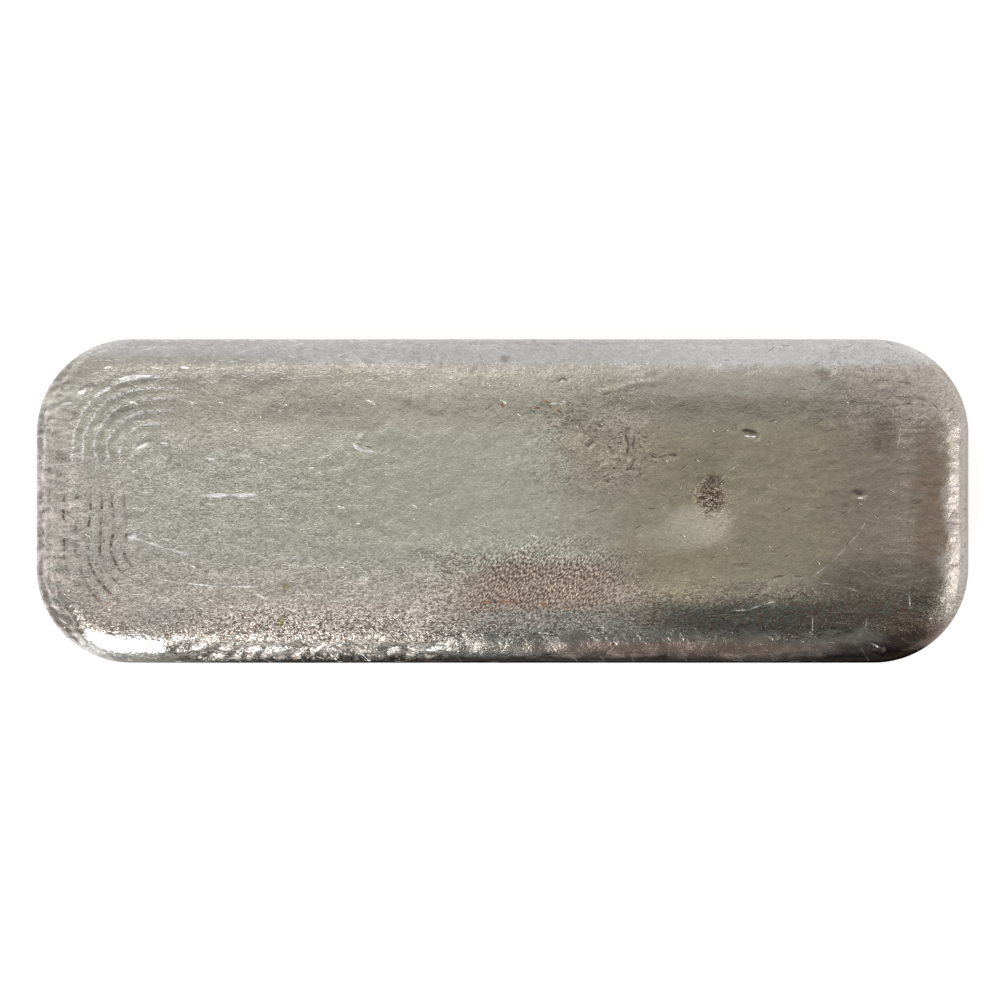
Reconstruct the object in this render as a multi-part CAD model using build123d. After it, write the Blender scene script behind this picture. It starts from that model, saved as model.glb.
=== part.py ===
from build123d import *
import os
from math import atan, degrees, radians, sqrt, tan

# Cast silver bar, lying as it was cast, with its poured face up. Sizes are in millimetres.
# The origin is the middle of the underside, +X runs along the length and +Z is up.
# The metal was poured into an open mould: the floor and the drafted wall shaped the underside
# and the sides, and the free surface rolled over at the edge and sank as the metal shrank.

# Block
length = 145.0
width = 50.4
thickness = 14.3
corner_radius = 14.8

# Mould wall and floor
wall_draft = 6.0  # degrees from upright
floor_radius = 3.0

# Poured face: the rolled edge, then a shallow sink inside its crest
roll_run = 6.5
roll_height = 3.8
sink_depth = 0.55

# Cooling ripples: shallow U-shaped furrows, parallel to the outline, at the end that froze last
ripple_inset = 7.2
ripple_pitch = 1.45
ripple_width = 1.0
ripple_depth = 0.12
ripple_arm = 7.0
ripple_corner_spare = 0.5
ripple_lift = 0.06

# Shrinkage pit: a dimple with a deeper hole, where the last metal drew in
pit_x = 32.2
pit_y = 0.5
pit_radius = 2.2
pit_depth = 1.4
dimple_radius = 7.0
dimple_depth = 0.35

# Heights and distances that follow from the sizes above
pour_line = thickness - roll_height
sink_floor = thickness - sink_depth
crest = corner_radius - roll_run
core_length = length - 2 * corner_radius
core_width = width - 2 * corner_radius


def edge_section():
    """The section from a corner's centre line out to the wall, in the XZ plane."""
    wall_foot = corner_radius - pour_line * tan(radians(wall_draft))
    bend = (crest / 2, thickness - sink_depth / 2)
    outline = [
        FilletPolyline((0, 0), (wall_foot, 0), (corner_radius, pour_line), radius=floor_radius),
        EllipticalCenterArc((crest, pour_line), roll_run, roll_height, start_angle=0, arc_size=90),
        TangentArc((crest, thickness), bend, tangent=(-1, 0)),
        TangentArc((0, sink_floor), bend, tangent=(1, 0)),
        Line((0, sink_floor), (0, 0)),
    ]
    return Plane.XZ * make_face(Curve() + outline)


def cast_block():
    """The block: a core, with the one section run along each side and turned about each corner."""
    section = edge_section()
    block = Box(core_length, core_width, sink_floor, align=(Align.CENTER, Align.CENTER, Align.MIN))
    for turn in range(4):
        reach, run = (core_length, core_width) if turn % 2 == 0 else (core_width, core_length)
        heading = Rot(0, 0, 90 * turn)
        side = Pos(reach / 2, 0, 0) * extrude(section, run / 2, both=True)
        corner = Pos(reach / 2, run / 2, 0) * revolve(section, Axis.Z, 90)
        block += heading * side + heading * corner
    return block


def poured_height(inset):
    """Height of the poured face at a distance in from the outline, inside the crest."""
    half_run, half_drop = crest / 2, sink_depth / 2
    bend_radius = (half_run**2 + half_drop**2) / (2 * half_drop)
    from_centre = corner_radius - inset
    if from_centre > half_run:
        return thickness - bend_radius + sqrt(bend_radius**2 - (crest - from_centre) ** 2)
    return sink_floor + bend_radius - sqrt(bend_radius**2 - from_centre**2)


def ripple_furrow(inset, rod_radius):
    """Cutter for one ripple: a rod bent to a U, tilted so that the furrow fades out along its arms."""
    bend_radius = corner_radius - inset
    half_span = width / 2 - inset
    reach = bend_radius + ripple_arm
    tilt = degrees(atan((ripple_depth + ripple_lift) / reach))
    path = FilletPolyline(
        (reach, half_span), (0, half_span), (0, -half_span), (reach, -half_span), radius=bend_radius
    )
    rod_end = Plane(path @ 0, z_dir=path % 0) * Circle(rod_radius)
    rod = sweep(rod_end, path=path)
    height = poured_height(inset) - ripple_depth + rod_radius
    return Pos(inset - length / 2, 0, height) * Rot(0, -tilt, 0) * rod


def ripples():
    """Every ripple that fits between the rolled edge and the corner's centre line."""
    rod_radius = (ripple_width**2 / 4 + ripple_depth**2) / (2 * ripple_depth)
    room = corner_radius - ripple_inset - rod_radius - ripple_corner_spare
    count = int(room / ripple_pitch) + 1
    return [ripple_furrow(ripple_inset + i * ripple_pitch, rod_radius) for i in range(count)]


def shrinkage_pit():
    """Cutter for the pit: a round hole in the middle of a wide dimple that meets the face smoothly."""
    lip = (pit_radius, -dimple_depth)
    outline = [
        TangentArc((0, -pit_depth), lip, tangent=(1, 0)),
        TangentArc((dimple_radius, 0), lip, tangent=(-1, 0)),
        Polyline((dimple_radius, 0), (dimple_radius, pit_depth), (0, pit_depth), (0, -pit_depth)),
    ]
    profile = Plane.XZ * make_face(Curve() + outline)
    return Pos(pit_x, pit_y, sink_floor) * revolve(profile, Axis.Z, 360)


silver_bar = cast_block() - ripples() - shrinkage_pit()
silver_bar.label = "silver_bar"

os.makedirs("parts", exist_ok=True)
export_step(silver_bar, "parts/silver_bar.step")

fine_silver = 10.49e-3  # grams per cubic millimetre
print("volume, cubic cm:", round(silver_bar.volume / 1000, 3))
print("weight in fine silver, grams:", round(silver_bar.volume * fine_silver, 1))
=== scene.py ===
# %% [markdown]
# # A cast silver bar
#
# The bar was poured into an open mould and lies as it was cast, with its poured face up. It is one
# piece of metal, so it becomes one closed mesh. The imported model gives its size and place. This
# script gives it the skin of a real casting: the swell of the poured face, the ripples where it
# froze, the shrinkage pit, the knocks of handling, and a dull silver finish.

# %% Load the frame
import math
import bmesh
import bpy
import mathutils
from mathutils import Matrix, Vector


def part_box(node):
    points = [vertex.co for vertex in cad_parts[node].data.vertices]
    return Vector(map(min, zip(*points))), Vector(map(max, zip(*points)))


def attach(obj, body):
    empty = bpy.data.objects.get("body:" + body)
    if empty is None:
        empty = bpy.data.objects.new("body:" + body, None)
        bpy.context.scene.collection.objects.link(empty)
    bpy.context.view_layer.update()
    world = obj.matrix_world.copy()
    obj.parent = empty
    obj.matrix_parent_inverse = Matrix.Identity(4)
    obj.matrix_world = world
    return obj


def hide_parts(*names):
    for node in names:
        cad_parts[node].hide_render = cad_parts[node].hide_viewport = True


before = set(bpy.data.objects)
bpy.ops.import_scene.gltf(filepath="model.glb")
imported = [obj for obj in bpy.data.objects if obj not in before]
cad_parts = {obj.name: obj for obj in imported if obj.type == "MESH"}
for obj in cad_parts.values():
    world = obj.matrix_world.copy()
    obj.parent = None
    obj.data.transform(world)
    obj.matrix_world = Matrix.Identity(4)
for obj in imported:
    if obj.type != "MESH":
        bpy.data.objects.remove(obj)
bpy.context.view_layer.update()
bpy.ops.object.select_all(action="DESELECT")
low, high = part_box("silver_bar")
print("the bar measures", [round(1000 * side, 2) for side in high - low], "mm")

# %% [markdown]
# ## Sizes
#
# The length, width and thickness come from the frame. The rest are the mould and the pour: the
# plan's corner radius, the draft of the wall, the rounded edge of the mould's floor, the run and
# height of the rolled edge, and how far the face sank inside its crest. They are in millimetres.
# The bar is modelled with one Blender unit to the millimetre, because edges of a few ten-thousandths
# of a unit are too short for some operators, and it is shrunk to metres when its shape is done.

# %% Sizes of the casting
mm = 0.001
length = (high.x - low.x) / mm
width = (high.y - low.y) / mm
thickness = (high.z - low.z) / mm
corner_radius = 14.8
wall_draft = math.radians(6.0)
floor_radius = 3.0
roll_run = 6.5
roll_height = 3.8
sink_depth = 0.55
pour_line = thickness - roll_height
crest = corner_radius - roll_run
face_step = 0.36
wall_step = 0.75
underside_step = 1.5
long_parts = 4

# %% [markdown]
# ## The outline
#
# The plan of the mould is a long rectangle with round corners. A plane is bevelled at its four
# vertices, and its straight edges are split, so that the points lie a third of a millimetre apart
# all the way round. Each ring of the face is copied from this line, and the relief of the face can be
# no finer than its points. The underside, which is nearly flat, gets an outline of its own with
# points further apart.

# %% Helpers to pick things by their place
def select_where(kind, wanted):
    """In edit mode, selects the vertices, edges or faces for which wanted(item) is true, and no others."""
    bpy.ops.mesh.select_mode(type={"verts": "VERT", "edges": "EDGE", "faces": "FACE"}[kind])
    bpy.ops.mesh.select_all(action="DESELECT")
    mesh = bmesh.from_edit_mesh(bpy.context.object.data)
    for item in getattr(mesh, kind):
        if wanted(item):
            item.select_set(True)
    mesh.select_flush_mode()
    bmesh.update_edit_mesh(bpy.context.object.data, loop_triangles=False, destructive=False)


def split_long_edges(longer_than, pieces):
    """Splits every edge over a length into equal pieces."""
    select_where("edges", lambda edge: edge.calc_length() > longer_than)
    bpy.ops.mesh.subdivide(number_cuts=pieces - 1)


# %% Draw an outline
def draw_outline(name, inset, height, step):
    """A wire outline of the plan, drawn in by an inset, with its points about a step apart."""
    side_x = length - 2 * inset
    side_y = width - 2 * inset
    radius = corner_radius - inset
    bpy.ops.mesh.primitive_plane_add(size=1, location=(0, 0, height))
    outline = bpy.context.object
    outline.name = name
    outline.scale = (side_x, side_y, 1)
    bpy.ops.object.transform_apply(location=True, rotation=True, scale=True)
    bpy.ops.object.mode_set(mode="EDIT")
    bpy.ops.mesh.select_all(action="SELECT")
    bpy.ops.mesh.bevel(offset=radius, segments=round(radius * math.pi / 2 / step), affect="VERTICES")
    bpy.ops.mesh.select_all(action="SELECT")
    bpy.ops.mesh.delete(type="ONLY_FACE")
    long_run = side_x - 2 * radius
    short_run = side_y - 2 * radius
    split_long_edges(short_run * 1.01, long_parts)
    split_long_edges(long_run / long_parts * 0.99, round(long_run / long_parts / step))
    split_long_edges(short_run * 0.99, round(short_run / step))
    print(name, "outline has", len(bmesh.from_edit_mesh(outline.data).verts), "points")
    return outline


# %% [markdown]
# ## Rings from the outline
#
# A face that fills the outline is extruded again and again, and each time its border is drawn in by
# the run, and lifted by the rise, that the section gives there. On the real bar that section is the
# free surface: it stands nearly upright at the mould, rolls over to a crest, and sinks towards the
# middle. The inset operator does nearly the same, but where a corner's radius shrinks to nothing its
# rounding errors grow, so here each point is drawn straight towards the corner's centre.

# %% Section of the poured face
def face_height(inset):
    """Height of the poured face at a distance in from the outline, before its relief."""
    if inset < roll_run:
        return pour_line + roll_height * math.sqrt(1 - (1 - inset / roll_run) ** 2)
    half_run = crest / 2
    half_drop = sink_depth / 2
    bend_radius = (half_run**2 + half_drop**2) / (2 * half_drop)
    from_crest = inset - roll_run
    if from_crest < half_run:
        return thickness - bend_radius + math.sqrt(bend_radius**2 - from_crest**2)
    from_centre = crest - from_crest
    return thickness - sink_depth + bend_radius - math.sqrt(bend_radius**2 - from_centre**2)


def evenly(start, end, step):
    """Numbers from start to end in equal steps near the step given, without the start."""
    count = round(abs(end - start) / step)
    return [start + (end - start) * (i + 1) / count for i in range(count)]


def face_rings():
    """Inset and height of each ring of the face, a face step apart along the section."""
    rings = []
    angle = 0.0
    while angle < math.pi / 2:
        angle += face_step / math.hypot(roll_run * math.sin(angle), roll_height * math.cos(angle))
        inset = roll_run * (1 - math.cos(min(angle, math.pi / 2)))
        rings.append((inset, face_height(inset)))
    rings += [(inset, face_height(inset)) for inset in evenly(roll_run, corner_radius, face_step)]
    return rings


def wall_rings():
    """Inset and height of each ring down the drafted wall and round the floor edge to the underside."""
    slope = math.tan(wall_draft)
    bend_height = floor_radius * (1 - math.sin(wall_draft))
    bend_inset = (pour_line - bend_height) * slope
    rings = [((pour_line - z) * slope, z) for z in evenly(pour_line, bend_height, wall_step)]
    centre = bend_inset + floor_radius * math.cos(wall_draft)
    for angle in evenly(wall_draft, math.pi / 2, wall_step / floor_radius):
        rings.append((centre - floor_radius * math.cos(angle), floor_radius * (1 - math.sin(angle))))
    return rings


# %% Draw the face in, ring by ring
def clamp_to_core(point):
    """The nearest place in plan on the core, the rectangle between the corners' centres."""
    x = min(max(point.x, -core_x / 2), core_x / 2)
    y = min(max(point.y, -core_y / 2), core_y / 2)
    return x, y


def draw_in_rings(rings, inset, height):
    """Extrudes the selected face once for each ring, and draws its border in towards the core."""
    bar_mesh = bpy.context.object.data
    for ring_inset, ring_height in rings:
        move = {"value": (0, 0, ring_height - height)}
        bpy.ops.mesh.extrude_region_move(TRANSFORM_OT_translate=move)
        shrink = (corner_radius - ring_inset) / (corner_radius - inset)
        mesh = bmesh.from_edit_mesh(bar_mesh)
        for point in mesh.verts:
            if point.select:
                x, y = clamp_to_core(point.co)
                point.co.x = x + (point.co.x - x) * shrink
                point.co.y = y + (point.co.y - y) * shrink
        bmesh.update_edit_mesh(bar_mesh, loop_triangles=False, destructive=False)
        inset = ring_inset
        height = ring_height


def fill_core(height, step):
    """Swaps the last face, drawn in onto the core, for a grid with points where its border has them."""
    bpy.ops.mesh.delete(type="ONLY_FACE")
    bpy.ops.mesh.primitive_grid_add(
        x_subdivisions=long_parts * round(core_x / long_parts / step),
        y_subdivisions=round(core_y / step),
        size=1,
        location=(0, 0, height),
    )
    bpy.ops.transform.resize(value=(core_x, core_y, 1))
    bpy.ops.mesh.select_all(action="SELECT")
    bpy.ops.mesh.remove_doubles(threshold=weld)


def draw_skin(name, inset, height, rings, step):
    """Draws an outline and fills it with rings and a core. The face it began from is left selected."""
    skin = draw_outline(name, inset, height, step)
    bpy.ops.mesh.select_all(action="SELECT")
    bpy.ops.mesh.edge_face_add()
    draw_in_rings(rings, inset, height)
    fill_core(rings[-1][1], step)
    select_where("faces", lambda face: len(face.verts) > 4)
    return skin


# %% The poured face, the wall and the floor edge
weld = 0.002
core_x = length - 2 * corner_radius
core_y = width - 2 * corner_radius
bar = draw_skin("silver_bar_casting", 0, pour_line, face_rings(), face_step)
rings_down = wall_rings()
draw_in_rings(rings_down, 0, pour_line)
bpy.ops.mesh.delete(type="ONLY_FACE")
bpy.ops.object.mode_set(mode="OBJECT")

# %% The underside
floor_margin = 0.8
floor_inset = rings_down[-1][0] + floor_margin
floor_rings = [(inset, 0.0) for inset in evenly(floor_inset, corner_radius, underside_step)]
sheet = draw_skin("underside", floor_inset, 0, floor_rings, underside_step)
bpy.ops.mesh.delete(type="ONLY_FACE")
bpy.ops.object.mode_set(mode="OBJECT")

# %% Close the bar
bpy.ops.object.select_all(action="DESELECT")
sheet.select_set(True)
bar.select_set(True)
bpy.context.view_layer.objects.active = bar
bpy.ops.object.join()
bpy.ops.object.mode_set(mode="EDIT")
select_where("edges", lambda edge: edge.is_boundary)
bpy.ops.mesh.bridge_edge_loops()
bpy.ops.mesh.select_all(action="SELECT")
bpy.ops.mesh.normals_make_consistent(inside=False)
bpy.ops.object.mode_set(mode="OBJECT")
triangles = sum(len(face.vertices) - 2 for face in bar.data.polygons)
print("the blank has", len(bar.data.vertices), "points and", triangles, "triangles")

# %% [markdown]
# ## Relief by nodes
#
# The blank is as smooth as a drawing. A poured face never is: it swells and sags over a centimetre
# or so, and near the rim it froze in lumps. Displace modifiers could do this with a texture each.
# Here one node group works out the height of every point from its place, because the ripples and the
# pit need formulas too. The relief only takes metal away from the blank, so that the bar stays
# within its real size. The same helpers wire the material's nodes further down.

# %% Sums on the signals between nodes
class Signal:
    """What a node puts out. Each sum on signals is written as on numbers, and adds one node."""

    def __init__(self, socket):
        self.socket = socket
        self.tree = socket.id_data
        self.is_vector = socket.type == "VECTOR"

    def __add__(self, other):
        return calc("ADD", self, other)

    def __sub__(self, other):
        return calc("SUBTRACT", self, other)

    def __rsub__(self, other):
        return calc("SUBTRACT", other, self)

    def __mul__(self, other):
        return calc("MULTIPLY", self, other)

    def __truediv__(self, other):
        return calc("DIVIDE", self, other)

    def __rtruediv__(self, other):
        return calc("DIVIDE", other, self)

    def __pow__(self, power):
        return calc("POWER", self, power)

    def __abs__(self):
        return calc("ABSOLUTE", self)

    def feed(self, socket):
        """Links the signal to the input that it ends in."""
        self.tree.links.new(self.socket, socket)


# %% Helpers to wire nodes
def add_node(kind, inputs, tree=None, **settings):
    """Adds a node and returns all it puts out. An input is a number, or a signal to link it to."""
    if tree is None:
        tree = next(value.tree for value in inputs.values() if isinstance(value, Signal))
    node = tree.nodes.new(kind)
    for name, value in settings.items():
        setattr(node, name, value)
    for key, value in inputs.items():
        if isinstance(value, Signal):
            value.feed(node.inputs[key])
        else:
            node.inputs[key].default_value = value
    return [Signal(socket) for socket in node.outputs]


def calc(operation, *values):
    """A sum on numbers and signals, as one Math node, or a Vector Math node if one is a vector."""
    vectors = [value for value in values if isinstance(value, tuple) or getattr(value, "is_vector", False)]
    kind = "ShaderNodeVectorMath" if vectors else "ShaderNodeMath"
    return add_node(kind, dict(enumerate(values)), operation=operation)[0]


def distance(first, second):
    """How far one place is from another."""
    return add_node("ShaderNodeVectorMath", {0: first, 1: second}, operation="DISTANCE")[1]


def largest(first, *others):
    """The largest of some values."""
    for other in others:
        first = calc("MAXIMUM", first, other)
    return first


def split(vector):
    """The x, y and z of a vector."""
    return add_node("ShaderNodeSeparateXYZ", {0: vector})


def turn(place, angle):
    """The place turned about the upright axis."""
    return add_node("ShaderNodeVectorRotate", {"Vector": place, "Angle": angle}, rotation_type="Z_AXIS")[0]


def ramp(value, start, end, low=0.0, high=1.0):
    """Turns softly from low, where the value is at start, to high, where it is at end."""
    inputs = {"Value": value, "From Min": start, "From Max": end, "To Min": low, "To Max": high}
    return add_node("ShaderNodeMapRange", inputs, interpolation_type="SMOOTHSTEP")[0]


def noise(place, size, detail=2.0, roughness=0.5, output=0, **more):
    """Cloudy noise from 0 to 1, whose lumps are about the size given. Output 1 is three such noises."""
    inputs = {"Vector": place, "Scale": 1 / size, "Detail": detail, "Roughness": roughness, **more}
    return add_node("ShaderNodeTexNoise", inputs)[output]


def mix(share, first, second):
    """Mixes two numbers by a share."""
    return add_node("ShaderNodeMix", {0: share, 2: first, 3: second})[0]


def mix_colour(share, first, second, blend="MIX"):
    """Mixes two colours by a share."""
    inputs = {0: share, 6: first, 7: second}
    return add_node("ShaderNodeMix", inputs, data_type="RGBA", blend_type=blend)[2]


shape_only = {"Geometry": ("Geometry", None)}


def new_group(name, kind, inputs, outputs):
    """A node group with named sockets. Inputs and outputs are name: (socket kind, default or None)."""
    tree = bpy.data.node_groups.new(name, kind)
    for in_out, sockets in (("INPUT", inputs), ("OUTPUT", outputs)):
        for socket_name, (socket_kind, default) in sockets.items():
            socket = tree.interface.new_socket(
                name=socket_name, in_out=in_out, socket_type="NodeSocket" + socket_kind
            )
            if default is not None:
                socket.default_value = default
    source = tree.nodes.new("NodeGroupInput")
    result = tree.nodes.new("NodeGroupOutput")
    return tree, [Signal(socket) for socket in source.outputs], result.inputs


# %% [markdown]
# ## Ripples, lumps and the pit
#
# The surface froze from the mould inwards, and at the left end it froze in steps, which stand as
# nested ripples parallel to the outline. The metal that froze last had too little left to feed it,
# and drew in to a pit inside a wide dimple. Both are distances turned into heights: from a small
# rectangle inside the left end, and from the pit's centre.

# %% The ripple field
ripple_pitch = 1.85
ripple_crest = 11.8
ripple_core_x = -54.8
ripple_core_y = 7.5
ripple_height = 0.04


def ripples(place):
    """The wave of the ripples from -1 to 1, and how strong they are there from 0 to 1."""
    x, y, _ = split(place)
    past_x = largest(ripple_core_x - x, 0.0)
    past_y = largest(abs(y) - ripple_core_y, 0.0)
    sway = noise(place, 5.0, 1.0) - 0.5
    away = sway * 1.5 + (past_x**2.0 + past_y**2.0) ** 0.5
    wave = calc("COSINE", (away - ripple_crest) / ripple_pitch * (2 * math.pi))
    end = x - ramp(y, 0.0, 4.0, -57.5, -52.0)
    fade = ramp(end, 3.0, -3.0) * ramp(away, 13.4, 12.4) * ramp(away, 2.0, 3.6)
    upper = ramp(y, 4.5, 8.5)
    lower = ramp(y, 1.8, -0.5, 0.0, 0.75) * ramp(y, -17.0, -13.5)
    broken = ramp(noise(place, 2.6, 1.0), 0.38, 0.52, 0.3, 1.0)
    return wave, fade * (upper + lower) * broken


# %% Swell, sag and creases of the poured face
def face_swell(place):
    """The slow swell and sag of the face, its faint creases, and fine level lines at the right end."""
    x, _, z = split(place)
    height = noise(place, 16.0, 1.0) * -0.34 + noise(place, 5.0) * -0.24
    creases = abs(noise(place * (0.6, 1.15, 1.0), 3.4) - 0.5)
    height = height + creases * ramp(noise(place, 11.0, 1.0), 0.35, 0.65, 0.04, 0.26)
    inside = ramp(z, thickness - 1.4, thickness - 0.8)
    right_end = ramp(x, 38.0, 58.0, 0.0, -0.22) * inside
    return height + noise(place * (0.35, 1.3, 1.0), 1.1) * right_end


# %% Lumps and wrinkles of the rolled edge
def folded_skin(place):
    """Noise drawn out along the bar and up the wall, like the folds of a skin that wrinkled as it froze."""
    return noise(place * (0.3, 1.0, 0.3), 1.0, roughness=0.6)


def rim_lumps(place):
    """The lumps of the edge at the lower left, and its wrinkles at the left end."""
    x, y, z = split(place)
    left_end = ramp(x, -64.0, -68.5)
    lower_left = ramp(x, -4.0, -16.0) * ramp(y, -14.0, -21.0) * ramp(x, -54.0, -46.0, 0.06, 1.0)
    calm = ramp(x, 50.0, 64.0, 0.16, 0.05)
    share = calc("MINIMUM", largest(lower_left * 1.1 + left_end, calm), 1.1)
    leaning = turn(place, math.radians(-25)) * (0.5, 1.0, 0.7)
    lumps = noise(leaning, 1.8, 3.0, 0.65) * -1.3
    near_rim = ramp(z, thickness - 0.15, thickness - 1.0)
    return mix(left_end, lumps, folded_skin(place) * -0.8) * (near_rim * share)


# %% The dimple and the pit in it
pit_x = 32.1
pit_y = 0.6
pit_oval = 0.82
pit_radius = 2.0
pit_depth = 0.2
dimple_radius = 7.5
dimple_depth = 0.32


def dimple_and_pit(place):
    """The height of the dimple with the ragged pit in it, and a mask of the pit alone."""
    _, _, z = split(place)
    rough = noise(place, 0.9, 3.0, 0.7)
    ragged = rough * 3.0 - 1.5
    from_pit = distance(place * (1.0, pit_oval, 0.0), (pit_x, pit_y * pit_oval, 0.0))
    hole = ramp(from_pit + ragged, pit_radius + 0.9, pit_radius - 0.7)
    hole_floor = rough * -0.45 - pit_depth
    dimple = ramp(from_pit, dimple_radius, 0.0) * -dimple_depth
    on_top = ramp(z, thickness - 2.0, thickness - 1.0)
    return (hole * hole_floor + dimple) * on_top, hole


# %% The relief group
def store(geometry, name, value, data_type="FLOAT"):
    """Keeps a value on each point of the mesh, for the finish to read."""
    inputs = {"Geometry": geometry, "Name": name, "Value": value}
    return add_node("GeometryNodeStoreNamedAttribute", inputs, data_type=data_type, domain="POINT")[0]


def relief_group():
    """Moves each point along its normal by the swell, lumps, ripples, dimple and pit there."""
    tree, source, result = new_group("Cast relief", "GeometryNodeTree", shape_only, shape_only)
    place = add_node("GeometryNodeInputPosition", {}, tree)[0]
    normal = add_node("GeometryNodeInputNormal", {}, tree)[0]
    _, _, z = split(place)
    wave, wave_share = ripples(place)
    sunk, hole = dimple_and_pit(place)
    face = face_swell(place) + rim_lumps(place) + wave * wave_share * ripple_height + sunk
    wall_skin = noise(place, 2.4, 3.0) * -0.06
    poured = ramp(z, pour_line, pour_line + 2.0)
    off_floor = ramp(z, 0.02, 1.0)
    height = mix(poured, wall_skin, face) * off_floor
    offset = add_node("ShaderNodeVectorMath", {0: normal, "Scale": height}, operation="SCALE")[0]
    moved = add_node("GeometryNodeSetPosition", {"Geometry": source[0], "Offset": offset})[0]
    store(moved, "hole", hole).feed(result[0])
    return tree


def apply_nodes(obj, tree, inputs=None):
    """Adds a node group to an object as a modifier, sets its inputs by name, and applies it."""
    bpy.context.view_layer.objects.active = obj
    modifier = obj.modifiers.new(tree.name, "NODES")
    modifier.node_group = tree
    for item in tree.interface.items_tree:
        if inputs and item.item_type == "SOCKET" and item.in_out == "INPUT" and item.name in inputs:
            modifier[item.identifier] = inputs[item.name]
    bpy.ops.object.modifier_apply(modifier=modifier.name)


apply_nodes(bar, relief_group())

# %% [markdown]
# ## Knocks, nicks and burrs
#
# A bar that has been stacked and slid about is dented all over. Each mark is drawn as a stroke on
# the face, in the way an engraver would: a short line with a half width. A node group then presses
# the strokes in. It asks for the nearest stroke of every point of the mesh, and lowers the point by
# a soft profile across the stroke. The metal that a nick pushes aside stands up as a lip round it.
# The places are given in pixels of the photograph, and the sizes are real ones.

# %% Places on the photograph
photo_side = 1000
photo_middle = (502.5, 501.0)
photo_pixels_per_mm = 6.428


def on_bar(pixel_x, pixel_y):
    """The place on the bar, in millimetres, of a pixel of the photograph."""
    across = (pixel_x - photo_middle[0]) / photo_pixels_per_mm
    along = (photo_middle[1] - pixel_y) / photo_pixels_per_mm
    return across, along


# %% Strokes, as half width in mm and pixels of the photograph
nicks = {
    "oval nick": (0.55, (743, 433), (755, 437)),
    "round nick right": (0.55, (852, 494), (861, 494)),
    "round nick lower right": (0.45, (842, 508), (846, 508)),
    "nick in the corner": (0.55, (873, 647), (880, 649)),
    "black slit": (0.3, (905, 404), (909, 404)),
    "slanted nick at the top": (0.6, (829, 359), (840, 354)),
    "slit one": (0.3, (770, 577), (783, 575)),
    "slit two": (0.3, (792, 576), (801, 576)),
    "slit three": (0.3, (760, 588), (767, 586)),
    "crescent": (0.35, (557, 383), (562, 379), (567, 382)),
    "bar nick": (0.35, (647, 377), (654, 377)),
    "slanted nick": (0.3, (622, 391), (626, 398)),
    "upright nick": (0.3, (606, 374), (606, 377)),
    "dash right": (0.25, (908, 503), (919, 503)),
    "dash right lower": (0.25, (907, 509), (912, 509)),
    "small nick one": (0.3, (811, 477), (811, 480)),
    "small nick two": (0.3, (813, 491), (813, 494)),
    "small nick three": (0.3, (827, 466), (828, 468)),
    "small nick four": (0.3, (834, 465), (835, 467)),
    "small nick five": (0.3, (883, 478), (884, 481)),
    "short nick low": (0.35, (734, 566), (746, 566)),
    "slanted stroke": (0.3, (472, 375), (481, 359)),
    "left bright nick": (0.45, (131, 537), (137, 536)),
    "left nick one": (0.35, (139, 447), (151, 443)),
    "left nick two": (0.3, (164, 443), (170, 443)),
    "corner nick one": (0.4, (84, 391), (95, 386)),
    "corner nick two": (0.4, (62, 406), (75, 404)),
    "corner nick three": (0.35, (107, 369), (111, 369)),
    "corner nick four": (0.35, (184, 370), (191, 368)),
}
scab_pits = {
    "round pit": (0.4, (598, 426), (601, 427)),
    "slanted slit": (0.35, (587, 447), (593, 441)),
    "pit at the wedge": (0.4, (627, 432), (627, 434)),
    "wedge": (0.45, (625, 438), (627, 446), (627, 457)),
    "pit left of the wedge": (0.35, (612, 453), (614, 455)),
    "slanted slit low": (0.3, (628, 470), (633, 463)),
    "pit one": (0.35, (606, 481), (608, 482)),
    "pit two": (0.3, (603, 471), (605, 471)),
    "pit three": (0.3, (568, 481), (570, 481)),
    "pit four": (0.3, (543, 477), (545, 477)),
    "pit five": (0.3, (533, 475), (535, 475)),
    "pair one": (0.35, (650, 456), (656, 458)),
    "pair two": (0.3, (667, 456), (677, 456)),
    "dot high": (0.25, (554, 345), (556, 345)),
    "dot one": (0.25, (527, 365), (529, 365)),
    "dot two": (0.25, (493, 527), (495, 527)),
    "dot three": (0.25, (554, 515), (556, 515)),
}
dents = {
    "shallow dent": (1.5, (756, 495), (761, 496)),
    "hollow by the scab": (2.2, (575, 430), (600, 450)),
    "hollow over the scab": (1.6, (612, 408), (640, 415)),
    "smudge at the top right": (1.2, (816, 374), (826, 369)),
    "dent lower right": (1.6, (826, 585), (850, 589)),
    "long hollow low": (1.5, (735, 610), (775, 601)),
    "hollow at the left": (1.8, (160, 445), (175, 470)),
    "hollow upper left": (1.5, (240, 405), (262, 398)),
    "hollow middle": (2.0, (420, 560), (450, 575)),
}
burrs = {
    "staple": (0.3, (356, 446), (373, 451)),
    "staple tail": (0.25, (361, 440), (366, 433)),
    "bright bead one": (0.25, (483, 384), (484, 385)),
    "bright bead two": (0.25, (476, 396), (477, 396)),
    "bead left one": (0.25, (332, 402), (333, 402)),
    "bead left two": (0.25, (342, 408), (343, 408)),
    "small ridge one": (0.25, (760, 514), (767, 519)),
    "small ridge two": (0.2, (762, 540), (764, 541)),
    "wavy ridge": (0.3, (730, 610), (740, 611), (759, 605), (776, 600)),
    "curl over the scab": (0.25, (600, 393), (617, 390), (633, 384), (663, 384)),
    "right edge of the wedge": (0.25, (632, 437), (631, 458)),
}


# %% The group that presses the strokes in
stroke_dots = 0.08
lip_clearance = 0.01


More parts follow.
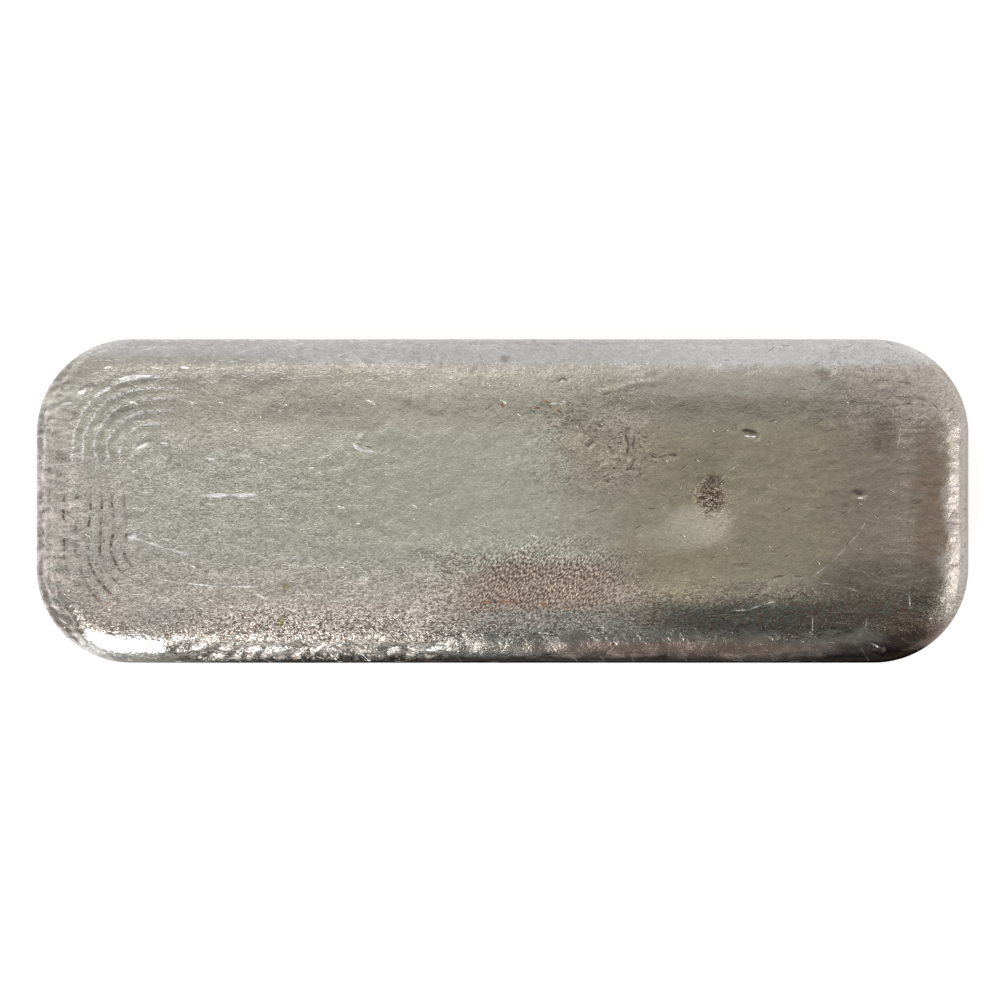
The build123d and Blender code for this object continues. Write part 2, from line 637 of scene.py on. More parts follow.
def press_group():
    """Lowers each point by its nearest stroke, and lifts a lip round the stroke."""
    inputs = {
        **shape_only,
        "Strokes": ("Object", None),
        "Depth per width": ("Float", 0.3),
        "Lip": ("Float", 0.2),
        "Stain": ("Float", 1.0),
    }
    tree, source, result = new_group("Press strokes", "GeometryNodeTree", inputs, shape_only)
    bar_mesh, strokes, steepness, lip, stain = source[:5]
    drawn = add_node("GeometryNodeObjectInfo", {"Object": strokes}, transform_space="ORIGINAL")[-1]
    dots = {"Curve": drawn, "Length": stroke_dots}
    dots = add_node("GeometryNodeCurveToPoints", dots, mode="LENGTH")[0]
    place = add_node("GeometryNodeInputPosition", {}, tree)[0]
    radius = add_node("GeometryNodeInputRadius", {}, tree)[0]
    _, _, z = split(place)
    waver = noise(place, 1 / 1.2, 1.0, output=1) - (0.5, 0.5, 0.5)
    in_plan = place * (1, 1, 0) + waver * (0.7, 0.7, 0.0)
    nearest = {"Geometry": dots, "Sample Position": in_plan}
    nearest = add_node("GeometryNodeSampleNearest", nearest)[0]
    at_dot = {"Geometry": dots, "Value": place, "Index": nearest}
    dot_place = add_node("GeometryNodeSampleIndex", at_dot, data_type="FLOAT_VECTOR")[0]
    at_dot["Value"] = radius
    half_width = add_node("GeometryNodeSampleIndex", at_dot, data_type="FLOAT")[0]
    share = distance(in_plan, dot_place) / half_width
    pressed = ramp(share, 1.25, 0.1)
    lifted = ramp(share, 0.7, 1.3) * ramp(share, 2.3, 1.3)
    on_top = ramp(z, pour_line + 0.5, pour_line + 1.5)
    depth = half_width * 2.0 * steepness
    height = (lifted * lip - pressed) * depth * on_top
    height = calc("MINIMUM", height, thickness - lip_clearance - z)
    offset = add_node("ShaderNodeCombineXYZ", {"Z": height})[0]
    moved = add_node("GeometryNodeSetPosition", {"Geometry": bar_mesh, "Offset": offset})[0]
    before = add_node("GeometryNodeInputNamedAttribute", {"Name": "stain"}, tree, data_type="FLOAT")[0]
    store(moved, "stain", largest(before, pressed * on_top * stain)).feed(result[0])
    return tree


# %% Draw the strokes and press them
def draw_strokes(name, strokes):
    """One curve object with a spline for each stroke. A point's radius is the stroke's half width."""
    curve = bpy.data.curves.new(name, "CURVE")
    curve.dimensions = "3D"
    for half_width, *pixels in strokes.values():
        spline = curve.splines.new("POLY")
        spline.points.add(len(pixels) - 1)
        for point, pixel in zip(spline.points, pixels):
            point.co = (*on_bar(*pixel), 0, 1)
            point.radius = half_width
    drawn = bpy.data.objects.new(name, curve)
    bpy.context.collection.objects.link(drawn)
    return drawn


press = press_group()
for name, strokes, steepness, lip, stain in (
    ("dents", dents, 0.03, 0.15, 0.0),
    ("nicks", nicks, 0.16, 0.3, 0.4),
    ("scab pits", scab_pits, 0.3, 0.4, 0.7),
    ("burrs", burrs, -0.25, 0.2, 0.0),
):
    drawn = draw_strokes(name, strokes)
    inputs = {"Strokes": drawn, "Depth per width": steepness, "Lip": lip, "Stain": stain}
    apply_nodes(bar, press, inputs)
    bpy.data.objects.remove(drawn)
    print("pressed", len(strokes), name)

# %% [markdown]
# ## Toning
#
# Sulphur in the air has toned the silver unevenly: green grey in the middle, olive and brown to the
# right. The near black along the lower right is partly tarnish and partly painted reflection and
# painted shade, with a painted black line along the lower edge, and some patches below are painted
# highlights, painted light and painted shade. Its crystals show as a grain that is strong in some
# places and hardly there in others. Both change slowly over the face, so they are kept on the points
# of the mesh, as a painter would put them on: soft patches with wavering edges.

# %% Patches of tone, as centre and half size in pixels of the photograph
silver_tone = (0.53, 0.515, 0.46)
wall_tone = (0.42, 0.405, 0.37)
# Colour of the painted shade on the steep lower roll at the ends.
end_roll_shade = (0.27, 0.225, 0.215)
toning = {
    "green grey corner": ((125, 408), (75, 45), (0.575, 0.565, 0.49), 0.8),
    "green grey left": ((240, 495), (90, 60), (0.52, 0.525, 0.455), 0.7),
    "beige upper left": ((255, 408), (85, 34), (0.68, 0.62, 0.52), 0.8),
    # Brown crystals high on the face, made darker as painted shade over the glint of the lamp at the back.
    "crystals and painted shade high": ((380, 372), (220, 12), (0.43, 0.385, 0.335), 0.85),
    "pink low left": ((250, 614), (230, 34), (0.56, 0.50, 0.45), 0.9),
    "shade over the pink": ((285, 590), (200, 12), (0.42, 0.39, 0.345), 0.8),
    "shade in the low corner": ((165, 606), (38, 20), (0.41, 0.39, 0.355), 0.8),
    "pink left end": ((58, 530), (24, 90), (0.68, 0.61, 0.565), 0.75),
    "green grey middle": ((455, 480), (170, 85), (0.505, 0.51, 0.415), 0.9),
    "light above the middle": ((470, 403), (150, 27), (0.64, 0.605, 0.50), 0.85),
    "olive right": ((770, 490), (175, 125), (0.348, 0.312, 0.225), 0.95),
    "olive by the band": ((672, 565), (50, 42), (0.38, 0.335, 0.235), 0.8),
    "olive high": ((700, 400), (110, 32), (0.43, 0.395, 0.31), 0.7),
    "light strip under the rim": ((730, 382), (120, 18), (0.51, 0.50, 0.45), 0.65),
    "olive over the pit": ((730, 412), (150, 12), (0.44, 0.40, 0.32), 0.6),
    "brown grey right": ((885, 490), (55, 110), (0.285, 0.24, 0.195), 0.7),
    "red brown crystals": ((545, 590), (90, 30), (0.33, 0.265, 0.22), 0.9),
    "brown by the scab": ((608, 450), (48, 46), (0.42, 0.365, 0.29), 0.7),
    "light over the scab": ((565, 408), (90, 18), (0.56, 0.52, 0.43), 0.7),
    "pink top right": ((905, 385), (75, 42), (0.50, 0.445, 0.40), 0.85),
    "brown right end": ((926, 512), (14, 75), (0.27, 0.205, 0.155), 0.85),
    "grey under the top rim": ((480, 352), (440, 13), (0.55, 0.54, 0.53), 0.9),
    "shade under the rim left": ((170, 374), (115, 17), (0.40, 0.385, 0.34), 0.85),
    "light strip high right": ((800, 354), (150, 13), (0.64, 0.63, 0.63), 0.8),
    "grey top edge": ((500, 340), (440, 6), (0.46, 0.435, 0.445), 0.8),
    "grey speckle low": ((540, 625), (85, 16), (0.31, 0.31, 0.285), 0.8),
    # The dark band and the patches over it are partly tarnish and partly painted reflection of the dark
    # side of the room in front.
    "dark band": ((762, 617), (128, 18), (0.077, 0.082, 0.073), 0.97),
    "dark band right": ((875, 604), (66, 25), (0.09, 0.082, 0.07), 0.9),
    "tarnish and painted shade above the band": ((880, 575), (70, 18), (0.16, 0.14, 0.12), 0.6),
    "tarnish and painted shade left over the band": ((755, 592), (60, 10), (0.18, 0.16, 0.125), 0.55),
    # The pink strip along the lower edge is partly tarnish and partly painted reflection.
    "pink strip low": ((685, 649), (140, 9), (0.49, 0.37, 0.315), 0.95),
    # A painted highlight on the lower left corner, where the lamp at the front left shines.
    "painted highlight at the low left corner": ((118, 644), (44, 10), (0.85, 0.84, 0.82), 0.9),
    # A painted highlight along the right rim, under the lamp at the right.
    "painted highlight on the right rim": ((957, 508), (13, 100), (0.47, 0.425, 0.395), 0.9),
    # The lower right corner and the edge under it are partly tarnish and partly painted shade, darkest in a
    # painted black corner.
    "brown corner": ((922, 643), (46, 25), (0.13, 0.093, 0.078), 0.96),
    "dark low right": ((868, 652), (40, 10), (0.095, 0.078, 0.07), 0.8),
    "black corner": ((915, 656), (44, 9), (0.03, 0.022, 0.018), 0.95),
    "bright ridge low left": ((250, 648), (110, 8), (0.52, 0.49, 0.455), 0.8),
    "shade on the low ridge": ((420, 648), (60, 8), (0.36, 0.34, 0.315), 0.8),
    # Painted shade: black lines along the steep lower edge, a painted reflection of dark surroundings in
    # front.
    "black line low": ((515, 663), (420, 9), (0.034, 0.03, 0.027), 0.97),
    "black line low right": ((855, 662), (75, 9), (0.03, 0.025, 0.022), 0.95),
}
small_stains_and_painted_light = {
    "yellow green one": ((283, 622), (3, 6), (0.22, 0.19, 0.03), 0.7),
    "yellow green two": ((287, 586), (3, 3), (0.26, 0.22, 0.04), 0.7),
    "brown stain high": ((505, 360), (4, 3), (0.20, 0.13, 0.09), 0.5),
    "smudge high right": ((821, 376), (6, 5), (0.18, 0.14, 0.12), 0.6),
    "smudge right": ((881, 436), (12, 14), (0.17, 0.135, 0.11), 0.6),
    # Painted light on the slopes of the dimple below and left of the pit, and painted shade over the pit.
    "painted light under the pit": ((694, 526), (30, 18), (0.64, 0.595, 0.50), 0.65),
    "painted light left of the pit": ((668, 538), (30, 14), (0.50, 0.465, 0.37), 0.6),
    "shade over the pit": ((712, 480), (8, 5), (0.12, 0.09, 0.07), 0.7),
}
grain_share = 0.4
wall_grain = 0.3
grain_patches = {
    "calm middle": ((440, 470), (150, 65), 0.2, 0.8),
    "calm right": ((770, 480), (180, 120), 0.25, 0.95),
    "fine grain left": ((220, 500), (140, 60), 0.52, 0.8),
    "fine grain top right": ((890, 400), (70, 50), 0.55, 0.8),
    "calm strip at the top": ((500, 350), (450, 12), 0.25, 0.8),
    "crystals at the top": ((350, 380), (170, 26), 0.38, 0.8),
    "rough left end": ((60, 540), (30, 90), 0.42, 0.8),
    "pink grain low left": ((240, 600), (200, 40), 0.62, 0.9),
    "sparkle low left": ((330, 630), (155, 22), 1.0, 0.95),
    "sparkle in the middle": ((530, 592), (100, 46), 1.0, 0.95),
    "speckle by the scab": ((590, 440), (65, 50), 0.58, 0.9),
    "speckle at the right": ((880, 580), (75, 40), 0.4, 0.7),
    "dark band": ((790, 612), (190, 24), 0.95, 0.9),
    "calm low strip": ((745, 650), (280, 16), 0.15, 1.0),
}
slant_patches = {"slanted crystals": ((552, 578), (72, 36), 1.0, 1.0)}
scab_patches = {
    "scab": ((620, 452), (26, 34), 1.0, 1.0),
    "scab high": ((560, 412), (26, 9), 0.8, 1.0),
    "scab left": ((592, 432), (20, 14), 0.7, 1.0),
    "specks low": ((548, 480), (26, 10), 0.4, 1.0),
}


# %% The toning group
def patch_group():
    """A soft patch: 1 near its centre, 0 outside its half size. Its form is between oval and oblong."""
    inputs = {"Place": ("Vector", None), "Centre": ("Vector", None), "Half size": ("Vector", (1, 1, 1))}
    tree, source, result = new_group("Soft patch", "GeometryNodeTree", inputs, {"Mask": ("Float", None)})
    place, centre, half_size = source[:3]
    x, y, _ = split((place - centre) / half_size)
    away = (abs(x) ** 3.0 + abs(y) ** 3.0) ** (1 / 3)
    ramp(away, 1.5, 0.5).feed(result[0])
    return tree


def toning_group():
    """Paints the patches of tone and of grain on the points."""
    tree, source, result = new_group("Toning", "GeometryNodeTree", shape_only, shape_only)
    place = add_node("GeometryNodeInputPosition", {}, tree)[0]
    x, _, z = split(place)
    waver = noise(place, 3.5, 4.0, 0.65, output=1) - (0.5, 0.5, 0.5)
    patch = patch_group()

    def masked(centre, half_size, strength, reach):
        """The mask of one patch, whose edge wanders by about a quarter of the millimetres given."""
        half_x, half_y = (side / photo_pixels_per_mm for side in half_size)
        inputs = {
            "Place": calc("MULTIPLY_ADD", waver, (reach, reach, 0), place),
            "Centre": (*on_bar(*centre), 0),
            "Half size": (half_x, half_y, 1),
        }
        return add_node("GeometryNodeGroup", inputs, node_tree=patch)[0] * strength

    def paint(under, patches, reach):
        """Lays one patch of a value over another."""
        for centre, half_size, value, strength in patches.values():
            under = mix(masked(centre, half_size, strength, reach), under, value)
        return under

    tone = (*silver_tone, 1)
    for patches, reach in ((toning, 8.0), (small_stains_and_painted_light, 2.0)):
        for centre, half_size, colour, strength in patches.values():
            mask = masked(centre, half_size, strength, min(reach, half_size[1] / 6))
            tone = mix_colour(mask, tone, (*colour, 1))
    # Painted shade on the steep lower roll at both ends, darker at the right end.
    low_roll = ramp(z, pour_line + 1.9, pour_line + 0.7) * ramp(abs(x), 64.0, 69.0)
    tone = mix_colour(low_roll * ramp(x, -60.0, 60.0, 0.3, 0.7), tone, (*end_roll_shade, 1))
    on_wall = ramp(z, pour_line + 0.2, pour_line - 1.5)
    painted = store(source[0], "toning", mix_colour(on_wall, tone, (*wall_tone, 1)), "FLOAT_COLOR")
    painted = store(painted, "grain", mix(on_wall, paint(grain_share, grain_patches, 8.0), wall_grain))
    painted = store(painted, "scab", paint(0.0, scab_patches, 4.0))
    store(painted, "slant", paint(0.0, slant_patches, 8.0)).feed(result[0])
    return tree


apply_nodes(bar, toning_group())

# %% Shrink to metres
bar.scale = (mm, mm, mm)
bpy.ops.object.select_all(action="DESELECT")
bar.select_set(True)
bpy.context.view_layer.objects.active = bar
bpy.ops.object.transform_apply(location=True, rotation=True, scale=True)
bpy.ops.object.shade_smooth()

# %% [markdown]
# ## The studio
#
# A pale floor, a soft pale room and three soft lamps. Metal shows what it reflects, so the room
# matters more than the lamps: its ceiling is greyer than its walls, and it is dimmer in front, where
# a photographer would stand. The floor is white paper. What the camera, or a reflection, sees of it
# gets a little light of its own, so that it comes out white and still keeps the bar's shadow.

# %% Floor
def new_material(name):
    """A material with nodes. Returns it with its tree and its Principled shader."""
    material = bpy.data.materials.new(name)
    material.use_nodes = True
    tree = material.node_tree
    return material, tree, tree.nodes["Principled BSDF"]


floor_size = 4.0
bpy.ops.mesh.primitive_plane_add(size=floor_size, location=(0, 0, 0))
floor = bpy.context.object
floor.name = "paper_floor"
paper, tree, shader = new_material("white paper")
shader.inputs["Base Color"].default_value = (0.82, 0.82, 0.82, 1)
shader.inputs["Roughness"].default_value = 0.9
shader.inputs["Emission Color"].default_value = (1, 1, 1, 1)
rays = tree.nodes.new("ShaderNodeLightPath").outputs
seen = [Signal(rays[name]) for name in ("Is Camera Ray", "Is Glossy Ray", "Is Transmission Ray")]
floor_glow = 0.5
(largest(*seen) * floor_glow).feed(shader.inputs["Emission Strength"])
floor.data.materials.append(paper)

# %% Room
world = bpy.data.worlds.new("studio room")
bpy.context.scene.world = world
world.use_nodes = True
background = world.node_tree.nodes["Background"]
direction = Signal(world.node_tree.nodes.new("ShaderNodeTexCoord").outputs["Generated"])
across, along, _ = split(direction)
ceiling_light = 0.68
back_light = 0.88
front_share = 0.3
right_light = 0.85
level = ramp(along, 0.0, 0.5, ceiling_light, back_light) * ramp(along, -0.1, -0.5, 1.0, front_share)
level = largest(level, ramp(across, 0.35, 0.85, 0.0, right_light))
level.feed(background.inputs["Strength"])
background.inputs["Color"].default_value = (1.0, 0.99, 0.985, 1)


# %% Lamps
def add_softbox(name, place, size, watts, colour):
    """An oblong lamp that looks at the bar."""
    bpy.ops.object.light_add(type="AREA", location=place)
    lamp = bpy.context.object
    lamp.name = name
    lamp.data.shape = "RECTANGLE"
    lamp.data.size, lamp.data.size_y = size
    lamp.data.energy = watts
    lamp.data.color = colour
    lamp.rotation_euler = (-mathutils.Vector(place)).to_track_quat("-Z", "Y").to_euler()
    return lamp


add_softbox("softbox_back", (-0.18, 0.36, 0.9), (0.3, 0.2), 0.34, (1, 1, 1))
add_softbox("softbox_right", (0.72, -0.17, 0.44), (0.28, 0.12), 0.73, (1.0, 0.96, 0.94))
add_softbox("lamp_front_left", (-0.2, -0.42, 0.3), (0.26, 0.18), 1.15, (1, 1, 1))

# %% Camera
picture_width = photo_side / photo_pixels_per_mm * mm
bpy.ops.object.camera_add(rotation=(0, 0, 0))
camera = bpy.context.object
camera.data.lens = 100
camera_height = picture_width * camera.data.lens / camera.data.sensor_width
camera.location = (
    (photo_side / 2 - photo_middle[0]) / photo_pixels_per_mm * mm,
    (photo_middle[1] - photo_side / 2) / photo_pixels_per_mm * mm,
    pour_line * mm + camera_height,
)
bpy.context.scene.camera = camera
bpy.context.scene.view_settings.view_transform = "Standard"

# %% [markdown]
# ## Silver
#
# Cast silver is not a mirror. Its crystals, the oxide that it took up, and years of handling make it
# a dull grey with a soft shine. The slow changes are on the points already, so the material adds what
# is finer than the mesh: the grain of the crystals, a mottle over it, and the scratches, with painted
# glints on cuts and ripple crests and painted shade in nicks, folds and wrinkles.

# %% Scratches, as half width in mm, strength, and pixels of the photograph
scratches = {
    "dash left": (0.17, 0.4, (149, 490), (159, 490)),
    "dash middle": (0.17, 0.4, (330, 470), (344, 470)),
    "dash low": (0.17, 0.5, (288, 558), (303, 558)),
    "dash low left": (0.17, 0.4, (250, 553), (263, 553)),
    "long arc": (0.2, 0.55, (140, 570), (154, 577), (179, 582), (222, 586), (269, 586)),
    "slanted": (0.2, 0.6, (252, 590), (277, 603), (311, 616)),
    "slanted low": (0.17, 0.5, (227, 610), (246, 620)),
    "curve": (0.2, 0.28, (808, 578), (829, 562), (845, 546), (858, 531), (865, 519)),
    "upright left": (0.22, 0.18, (891, 398), (890, 432)),
    "upright right": (0.25, 0.22, (897, 398), (899, 424), (894, 452)),
    "level at the top": (0.15, 0.25, (858, 381), (902, 383)),
    "streak left one": (0.28, 0.8, (130, 536), (147, 541), (168, 548), (194, 555)),
    "streak left two": (0.2, 0.5, (140, 532), (160, 538), (176, 540)),
    "low upright one": (0.14, 0.45, (810, 612), (810, 635)),
    "low upright two": (0.14, 0.4, (864, 617), (863, 629)),
    "low upright three": (0.14, 0.45, (906, 590), (907, 611)),
    "wave in the band": (0.2, 0.4, (730, 610), (746, 609), (760, 604), (776, 600)),
    "fan over the band one": (0.17, 0.3, (816, 582), (832, 584)),
    "fan over the band two": (0.17, 0.3, (842, 586), (858, 592)),
    "gold bead one": (0.3, 0.8, (483, 384), (484, 386)),
    "gold bead two": (0.28, 0.8, (476, 396), (478, 397)),
    "tail over the pit": (0.17, 0.35, (716, 484), (728, 472), (737, 464)),
    "long line high": (0.14, 0.2, (690, 372), (722, 366), (760, 362)),
}

# %% Cuts, lips and beads, bright with bare metal and with painted glints
cuts_and_painted_glints = {
    "bright dash": (0.4, 1.0, (206, 496), (232, 495), (259, 495)),
    "staple light": (0.34, 1.0, (355, 447), (364, 451), (374, 452)),
    "first arc": (0.32, 1.0, (97, 398), (105, 393), (113, 389)),
    "second arc": (0.24, 0.9, (121, 381), (134, 377), (158, 377)),
    "in the corner": (0.34, 1.0, (81, 395), (89, 391)),
    "by the corner": (0.28, 0.8, (64, 405), (77, 403)),
    "over the arcs": (0.28, 0.8, (107, 369), (114, 368)),
    "high dash": (0.24, 0.9, (182, 368), (192, 369)),
    "under the arcs": (0.3, 1.0, (139, 449), (151, 443)),
    "beside it": (0.25, 0.8, (163, 443), (170, 444)),
    "dash above the bright one": (0.22, 0.8, (207, 458), (217, 460)),
    "head of the streak": (0.34, 1.0, (130, 537), (139, 536)),
    "lip of the oval nick": (0.2, 0.55, (743, 436), (749, 437), (755, 437)),
    "lip of the round nick": (0.2, 0.6, (855, 498), (861, 498)),
    "bead by the specks": (0.22, 0.9, (551, 404), (555, 404)),
    "lip of the low corner nick": (0.2, 0.7, (868, 642), (878, 647)),
    "bead beside it": (0.2, 0.9, (562, 402), (565, 403)),
}

# %% Small nicks and specks of copper colour, which are finer than the mesh
# The nicks are painted dark, partly as painted shade in their hollows.
small_nicks = {
    "oval nick": (0.3, 1.0, (741, 431), (748, 431), (755, 433)),
    "round nick right": (0.3, 1.0, (854, 494), (860, 494)),
    "slit one": (0.2, 1.0, (770, 577), (783, 575)),
    "slit two": (0.18, 1.0, (792, 576), (801, 576)),
    "crescent": (0.18, 1.0, (557, 383), (562, 379), (567, 382)),
    "slanted slit": (0.2, 1.0, (587, 447), (593, 441)),
    "wedge": (0.25, 1.0, (624, 434), (628, 446), (625, 457)),
    "wedge branch": (0.2, 1.0, (634, 436), (631, 450)),
    "slanted slit low": (0.2, 1.0, (628, 470), (633, 463)),
    "pit one": (0.28, 1.0, (606, 481), (608, 482)),
    "pair": (0.18, 1.0, (650, 456), (656, 458), (666, 455), (677, 456)),
    "round pit": (0.32, 1.0, (598, 426), (601, 427)),
    "staple": (0.18, 1.0, (356, 443), (364, 446), (373, 448)),
    "black slit": (0.22, 1.0, (902, 404), (911, 405)),
    "curved dark line": (0.16, 0.6, (910, 398), (929, 403), (936, 411)),
    "low corner nick": (0.3, 1.0, (870, 645), (883, 651)),
    "level line one": (0.14, 0.7, (866, 381), (890, 382), (912, 385)),
    "level line two": (0.13, 0.6, (884, 397), (912, 398)),
    "fold left of the pit": (0.15, 0.45, (655, 493), (668, 497), (682, 494)),
    "slit on the brown": (0.16, 0.8, (907, 503), (919, 503)),
}
copper_specks = {
    "speck one": (0.28, 1.0, (502, 404), (503, 408)),
    "speck two": (0.22, 1.0, (536, 408), (539, 409)),
    "speck three": (0.22, 1.0, (549, 407), (551, 409)),
    "speck four": (0.24, 1.0, (544, 402), (548, 403)),
    "speck five": (0.22, 1.0, (556, 411), (560, 412)),
    "orange line": (0.2, 0.6, (476, 602), (495, 600), (518, 602)),
    "orange spot": (0.28, 0.8, (541, 603), (545, 604)),
    "orange spot right": (0.2, 0.5, (560, 606), (572, 608)),
    "orange arc": (0.16, 0.5, (95, 594), (104, 600), (116, 605)),
}

# %% Groups for lines and for strewn marks
endless = 1e6


def line_group(name, strokes):
    """All the strokes as one mask. Each run is a thin ellipse, which a round gradient is stretched to."""
    inputs = {"Place": ("Vector", None)}
    tree, source, result = new_group(name, "ShaderNodeTree", inputs, {"Mask": ("Float", None)})
    mask = 0.0
    for half_width, weight, *pixels in strokes.values():
        corners = [on_bar(*pixel) for pixel in pixels]
        for (start_x, start_y), (end_x, end_y) in zip(corners, corners[1:]):
            run = math.hypot(end_x - start_x, end_y - start_y)
            fitted = {
                "Vector": source[0],
                "Location": ((start_x + end_x) / 2, (start_y + end_y) / 2, 0),
                "Rotation": (0, 0, math.atan2(end_y - start_y, end_x - start_x)),
                "Scale": (run / 2 + half_width, half_width, endless),
            }
            fitted = add_node("ShaderNodeMapping", fitted, vector_type="TEXTURE")[0]
            ellipse = add_node("ShaderNodeTexGradient", {"Vector": fitted}, gradient_type="SPHERICAL")[1]
            mask = largest(mask, ellipse * weight)
    ramp(mask, 0.0, 0.5).feed(result[0])
    return tree


def mark_group():
    """Short marks strewn at random, at most one to each cell of a Voronoi pattern."""
    sizes = ("Cell size", "Half length", "Half width", "Turn", "Spread", "Share")
    inputs = {"Place": ("Vector", None), **{size: ("Float", None) for size in sizes}}
    tree, source, result = new_group("Strewn marks", "ShaderNodeTree", inputs, {"Mask": ("Float", None)})
    place, cell_size, half_length, half_width, lean, spread, share = source[:7]
    flat = place * (1, 1, 0)
    cells = {"Vector": flat, "Scale": 1.0 / cell_size, "Randomness": 0.9}
    _, colour, centre = add_node("ShaderNodeTexVoronoi", cells, voronoi_dimensions="2D")[:3]
    chance, other, third = split(colour)
    x, y, _ = split(turn(flat - centre, (other - 0.5) * spread + lean))
    along = x / (half_length * (third + 0.4))
    across = y / half_width
    drawn = ramp(along**2.0 + across**2.0, 1.0, 0.2) * calc("LESS_THAN", chance, share)
    drawn.feed(result[0])
    return tree


# %% Strewn marks, as cell size, half length and half width in mm, turn, spread and share of cells
strewn_marks = {
    "dents": (2.3, 0.8, 0.17, 0.0, 2.2, 0.25),
    "hairs": (4.6, 2.4, 0.07, 0.4, 1.6, 0.6),
    "dots": (0.95, 0.42, 0.23, 0.0, 1.2, 0.6),
    "dashes": (1.5, 0.75, 0.075, 0.0, 0.9, 0.5),
}
drawn_marks = {"nicks": small_nicks, "scratches": scratches, "cuts": cuts_and_painted_glints, "specks": copper_specks}


def all_marks(place, on_face):
    """A mask for each kind of mark, by its name. The strewn ones are kept to the poured face."""
    marks = {}
    for name, strokes in drawn_marks.items():
        marks[name] = add_node("ShaderNodeGroup", {0: place}, node_tree=line_group(name, strokes))[0]
    strewn = mark_group()
    for name, sizes in strewn_marks.items():
        inputs = dict(enumerate((place, *sizes)))
        marks[name] = add_node("ShaderNodeGroup", inputs, node_tree=strewn)[0] * on_face
    return marks


# %% The grain of the crystals
def crystal_grain(place, slant):
    """Two noises: curls, and the crystals, which are curls too, save where they lie on a slant."""
    curls = noise(place * (0.75, 1.2, 1.0), 0.4, 1.0, 0.6, Distortion=1.2)
    slanted = turn(place, math.radians(-55)) * (0.7, 2.1, 1.0)
    slanted = {"Vector": slanted, "Scale": 2.5, "Detail": 0.0}
    slanted = add_node("ShaderNodeTexNoise", slanted, noise_dimensions="2D")[0]
    return curls, mix(slant, curls, slanted)


# %% Where the metal is darker and lighter than its tone
def ripple_lines(place, curls, grain, folds):
    """The crests of the ripples, painted light as painted highlights, and their dark grooves, broken up by
    the crystals and folds.
    """
    _, y, _ = split(place)
    wave, share = ripples(place)
    share = calc("MINIMUM", share * 2.0, 1.0)
    crest = ramp(wave, 0.62, 0.9) * ramp(y, 1.0, 5.0, 0.1, 1.0)
    groove = ramp(wave, -0.6, -0.9) * ramp(y, 5.0, 1.0, 0.25, 1.0)
    crest = crest * ramp(grain, 0.44, 0.54, 0.05, 1.0) * share
    return crest, groove * ramp(curls, 0.41, 0.48) * ramp(folds, 0.44, 0.51, 0.0, 0.9) * share


def dark_marks(place, marks, mottle, scab, fold_hollow_shade):
    """The nicks, darkened partly as painted shade, the strewn dents and dots, and painted shade in the
    hollows of the folds on the rim at the lower left.
    """
    x, y, _ = split(place)
    dents = marks["dents"] * ramp(x, -10.0, 15.0, 0.15, 0.35)
    left_end = ramp(x, -62.0, -65.5) * ramp(y, 12.0, 4.0, 0.0, 0.5)
    dots = marks["dots"] * largest(left_end, scab) * ramp(mottle, 0.40, 0.50)
    low_rim = ramp(x, 0.0, -8.0) * ramp(x, -54.0, -48.0) * ramp(y, -18.5, -20.5)
    # Painted shade in the nicks and in the hollows of the folds on the low rim.
    return largest(dents, low_rim * fold_hollow_shade, marks["nicks"] * 0.68, dots * 0.75)


def light_marks(place, marks, curls, crest):
    """The scratches, hairs and dashes, the cuts with their bare metal and painted glints, and the ripple
    crests with painted highlights.
    """
    x, _, _ = split(place)
    scratched = marks["scratches"] * ramp(curls, 0.3, 0.5, 0.4, 1.0)
    hairs = marks["hairs"] * ramp(x, -5.0, -25.0, 0.12, 0.45)
    dashes = marks["dashes"] * ramp(x, 5.0, -25.0, 0.15, 1.0)
    return largest(scratched * 0.7, hairs, crest * 0.95, dashes * 0.5, marks["cuts"])


# %% The silver material
gap_brown = (0.20, 0.12, 0.085)
groove_brown = (0.10, 0.065, 0.05)
stain_brown = (0.12, 0.09, 0.07)
pit_brown = (0.12, 0.07, 0.045)
pit_crystals = (0.75, 0.68, 0.62)
copper = (0.45, 0.18, 0.07)
mark_brown = (0.10, 0.08, 0.065)
# Bare silver for the scratches, and the white of the painted glints on cuts and ripple crests.
bare_silver_and_glint = (0.97, 0.96, 0.93)


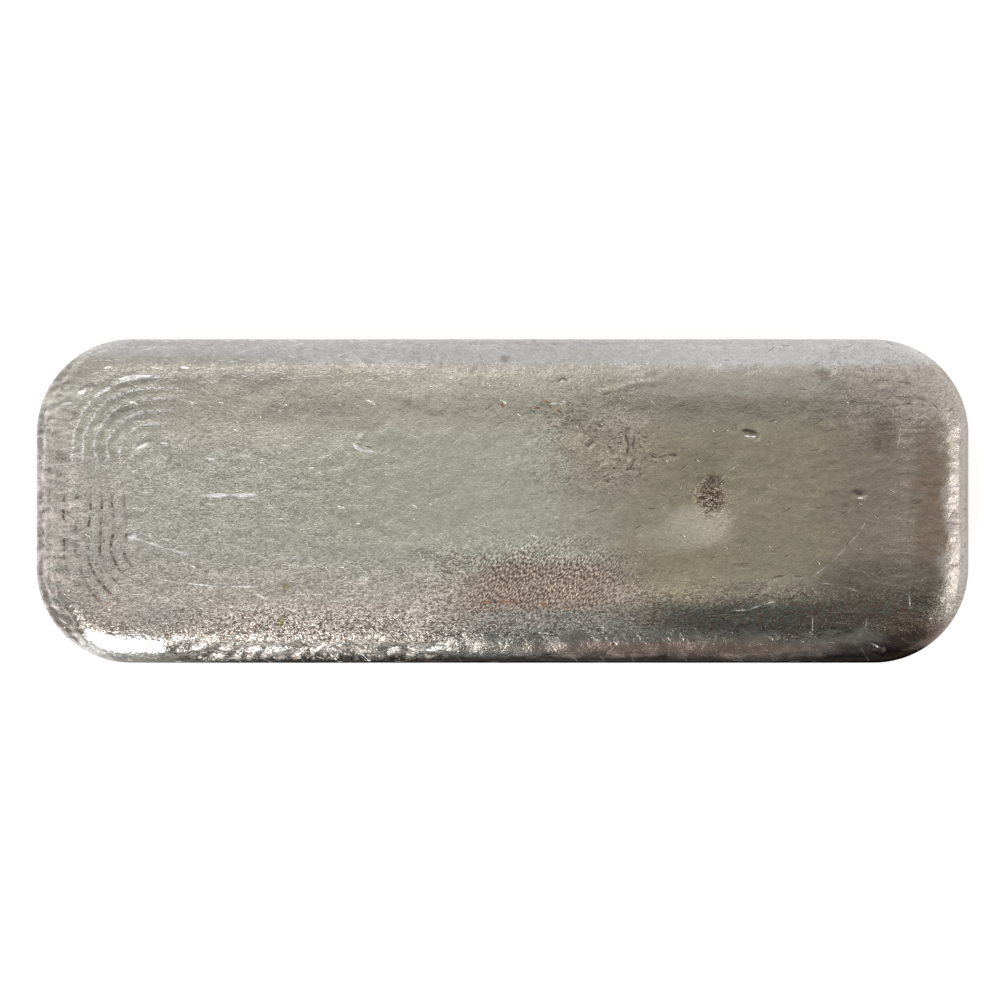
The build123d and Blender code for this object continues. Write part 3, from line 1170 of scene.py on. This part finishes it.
def silver_material():
    """Toned cast silver. Colour, roughness and fine relief all come from the place on the bar."""
    material, tree, shader = new_material("toned cast silver")
    metres = Signal(tree.nodes.new("ShaderNodeTexCoord").outputs["Object"])
    place = metres * (1000, 1000, 1000)
    x, _, z = split(place)
    tone = add_node("ShaderNodeAttribute", {}, tree, attribute_name="toning")[0]
    share, slant, stain, hole, scab = (
        add_node("ShaderNodeAttribute", {}, tree, attribute_name=name)[2]
        for name in ("grain", "slant", "stain", "hole", "scab")
    )
    on_face = ramp(z, pour_line - 0.3, pour_line + 0.6)
    mottle = noise(place, 1.5, 2.0, 0.65)
    folds = folded_skin(place)
    curls, grain = crystal_grain(place, slant)
    crystals = ramp(grain, 0.36, 0.64)
    marks = all_marks(place, on_face)
    crest, groove = ripple_lines(place, curls, grain, folds)

    busy = share**2.0
    # Painted shade in the grooves of the wrinkles at the left end.
    wrinkles = ramp(x, -63.0, -67.0, 0.0, 1.7) * on_face
    shade = (crystals - 0.5) * (busy * 1.1 + 0.05) + (mottle - 0.5) * 0.3 + (0.5 - folds) * wrinkles
    colour = mix_colour(1.0, tone, shade + 0.97, "MULTIPLY")
    # Painted shade in the hollows of the folds.
    painted_fold_shade = ramp(folds, 0.45, 0.38, 0.0, 0.6) * on_face
    for mask, paint in (
        (ramp(crystals, 0.3, 0.0) * busy * 0.6, gap_brown),
        (groove, groove_brown),
        (stain * 0.4, stain_brown),
        (hole * ramp(curls, 0.42, 0.58, 1.0, 0.15), pit_brown),
        (hole * ramp(curls, 0.54, 0.66, 0.0, 0.7), pit_crystals),
        (marks["specks"] * ramp(grain, 0.4, 0.5, 0.3, 0.9), copper),
        (dark_marks(place, marks, mottle, scab, painted_fold_shade), mark_brown),
        (light_marks(place, marks, curls, crest), bare_silver_and_glint),
    ):
        colour = mix_colour(mask, colour, (*paint, 1))
    colour.feed(shader.inputs["Base Color"])
    shader.inputs["Metallic"].default_value = 1.0
    ramp(split(tone)[0], 0.3, 0.05, 1.0, 0.05).feed(shader.inputs["Specular Tint"])

    right_rim = ramp(x, 60.0, 64.0) * ramp(z, thickness - 0.3, thickness - 1.2)
    rough = (mottle - 0.5) * 0.25 + 0.24 + largest(hole, stain) * 0.4 + right_rim * 0.05
    rough.feed(shader.inputs["Roughness"])

    bumps = busy * 0.05 + ramp(share, 0.15, 0.25, 0.03, 0.055)
    height = grain * (busy * 0.12 + 0.03) + mottle * bumps - marks["dents"] * 0.035 + hole * curls * 0.3
    bump = {"Height": height, "Distance": mm, "Strength": 1.0}
    add_node("ShaderNodeBump", bump)[0].feed(shader.inputs["Normal"])
    return material


bar.data.materials.clear()
bar.data.materials.append(silver_material())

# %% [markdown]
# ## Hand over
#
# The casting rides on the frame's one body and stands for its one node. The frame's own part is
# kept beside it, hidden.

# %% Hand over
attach(bar, "root")
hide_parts("silver_bar")
